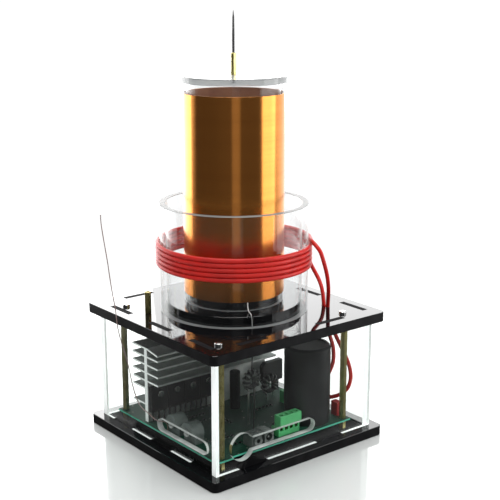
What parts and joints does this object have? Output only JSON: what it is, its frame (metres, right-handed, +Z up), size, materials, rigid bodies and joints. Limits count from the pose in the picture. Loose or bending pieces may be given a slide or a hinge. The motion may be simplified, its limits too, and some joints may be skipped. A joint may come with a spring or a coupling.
{
  "type": "desktop resonant transformer",
  "caption": "Desktop resonant transformer: a red primary winding round a clear tube, a taller copper secondary coil with a steel needle, on a clear-walled black case of electronics.",
  "frame": {"origin": "centre of the square base plate, on its underside", "axes": "+Z up; the wall with the keyhole opening faces -Y and the wall with the rounded slot faces -X"},
  "size_m": [0.177, 0.175, 0.3445],
  "materials": {
    "black_acrylic": "polished black acrylic with bright saw-cut edges",
    "clear_acrylic": "clear polished acrylic",
    "brass": "plain machined brass",
    "zinc_steel": "zinc plated steel",
    "board": "green solder-masked glass-fibre board",
    "aluminium": "satin extruded aluminium",
    "black_plastic": "moulded black plastic",
    "grey_pad": "soft grey insulating pad",
    "capacitor_sleeve": "shrunk dark sleeve",
    "red_box": "red moulded box",
    "green_plastic": "light green moulded plastic",
    "ferrite": "sintered ferrite",
    "dark_wire": "dark insulated wire",
    "tinned_wire": "pale insulated wire",
    "resistor_body": "coated resistor body with tinned wires",
    "red_silicone": "red silicone insulation over stranded copper",
    "copper": "close-wound enamelled copper wire",
    "control_plastic": "pale grey moulded plastic",
    "white_wire": "white insulated wire",
    "aerial_wire": "stiff tinned wire"
  },
  "bodies": {
    "transformer": {"base_plate": "black_acrylic", "deck_plate": "black_acrylic", "keyhole_wall": "clear_acrylic", "slotted_wall": "clear_acrylic", "back_wall": "clear_acrylic", "right_wall": "clear_acrylic", "base_screws": "zinc_steel", "base_spacers": "brass", "lower_posts": "brass", "middle_posts": "brass", "upper_posts": "brass", "deck_screws": "zinc_steel", "circuit_board": "board", "heatsink": "aluminium", "thermal_pad": "grey_pad", "power_transistors": "black_plastic", "transistor_screws": "zinc_steel", "bridge_rectifier": "black_plastic", "reservoir_capacitor": "capacitor_sleeve", "driver_capacitor": "capacitor_sleeve", "film_capacitor": "red_box", "driver_chips": "black_plastic", "resistors": "resistor_body", "primary_terminal": "green_plastic", "terminal_block": "green_plastic", "signal_socket": "black_plastic", "supply_socket": "black_plastic", "gate_ring_core": "ferrite", "gate_ring_winding": "dark_wire", "sense_ring_core": "ferrite", "sense_ring_winding": "tinned_wire", "primary_tube": "clear_acrylic", "primary_winding": "red_silicone", "coil_disc": "black_acrylic", "coil_plug": "black_acrylic", "centre_bolt": "zinc_steel", "centre_nut": "zinc_steel", "secondary_tube": "clear_acrylic", "secondary_winding": "copper", "secondary_lead": "white_wire", "top_cap": "clear_acrylic", "cap_screw": "zinc_steel", "discharge_post": "brass", "discharge_needle": "zinc_steel", "earth_post": "brass", "earth_screw": "zinc_steel", "pickup_aerial": "aerial_wire", "control_body_1": "control_plastic", "control_body_2": "control_plastic"},
    "clamp_screw_1": {"clamp_screw_1": "zinc_steel"},
    "clamp_screw_2": {"clamp_screw_2": "zinc_steel"},
    "clamp_screw_3": {"clamp_screw_3": "zinc_steel"},
    "clamp_screw_4": {"clamp_screw_4": "zinc_steel"},
    "clamp_cage_1": {"clamp_cage_1": "brass"},
    "clamp_cage_2": {"clamp_cage_2": "brass"},
    "clamp_cage_3": {"clamp_cage_3": "brass"},
    "clamp_cage_4": {"clamp_cage_4": "brass"},
    "control_shaft_1": {"control_shaft_1": "control_plastic"},
    "control_shaft_2": {"control_shaft_2": "control_plastic"}
  },
  "joints": [
    {"name": "clamp_screw_1_turn", "type": "hinge", "parent": "transformer", "child": "clamp_screw_1", "pos_m": [-0.00702, -0.0658, 0.0325], "axis": [0, 0, 1], "range_deg": [-1440, 0]},
    {"name": "clamp_cage_1_lift", "type": "slide", "parent": "transformer", "child": "clamp_cage_1", "axis": [0, 0, 1], "range_m": [0, 0.0018]},
    {"name": "clamp_screw_2_turn", "type": "hinge", "parent": "transformer", "child": "clamp_screw_2", "pos_m": [-0.00194, -0.0658, 0.0325], "axis": [0, 0, 1], "range_deg": [-1440, 0]},
    {"name": "clamp_cage_2_lift", "type": "slide", "parent": "transformer", "child": "clamp_cage_2", "axis": [0, 0, 1], "range_m": [0, 0.0018]},
    {"name": "clamp_screw_3_turn", "type": "hinge", "parent": "transformer", "child": "clamp_screw_3", "pos_m": [0.00314, -0.0658, 0.0325], "axis": [0, 0, 1], "range_deg": [-1440, 0]},
    {"name": "clamp_cage_3_lift", "type": "slide", "parent": "transformer", "child": "clamp_cage_3", "axis": [0, 0, 1], "range_m": [0, 0.0018]},
    {"name": "clamp_screw_4_turn", "type": "hinge", "parent": "transformer", "child": "clamp_screw_4", "pos_m": [0.00822, -0.0658, 0.0325], "axis": [0, 0, 1], "range_deg": [-1440, 0]},
    {"name": "clamp_cage_4_lift", "type": "slide", "parent": "transformer", "child": "clamp_cage_4", "axis": [0, 0, 1], "range_m": [0, 0.0018]},
    {"name": "control_1_turn", "type": "hinge", "parent": "transformer", "child": "control_shaft_1", "pos_m": [-0.0695, -0.012, 0.026], "axis": [1, 0, 0], "range_deg": [-150, 150]},
    {"name": "control_2_turn", "type": "hinge", "parent": "transformer", "child": "control_shaft_2", "pos_m": [-0.0695, -0.033, 0.026], "axis": [1, 0, 0], "range_deg": [-150, 150]}
  ],
  "couplings": [
    {"joint": "clamp_screw_1_turn", "follows": "clamp_cage_1_lift", "rad_per_m": -13963},
    {"joint": "clamp_screw_2_turn", "follows": "clamp_cage_2_lift", "rad_per_m": -13963},
    {"joint": "clamp_screw_3_turn", "follows": "clamp_cage_3_lift", "rad_per_m": -13963},
    {"joint": "clamp_screw_4_turn", "follows": "clamp_cage_4_lift", "rad_per_m": -13963}
  ]
}
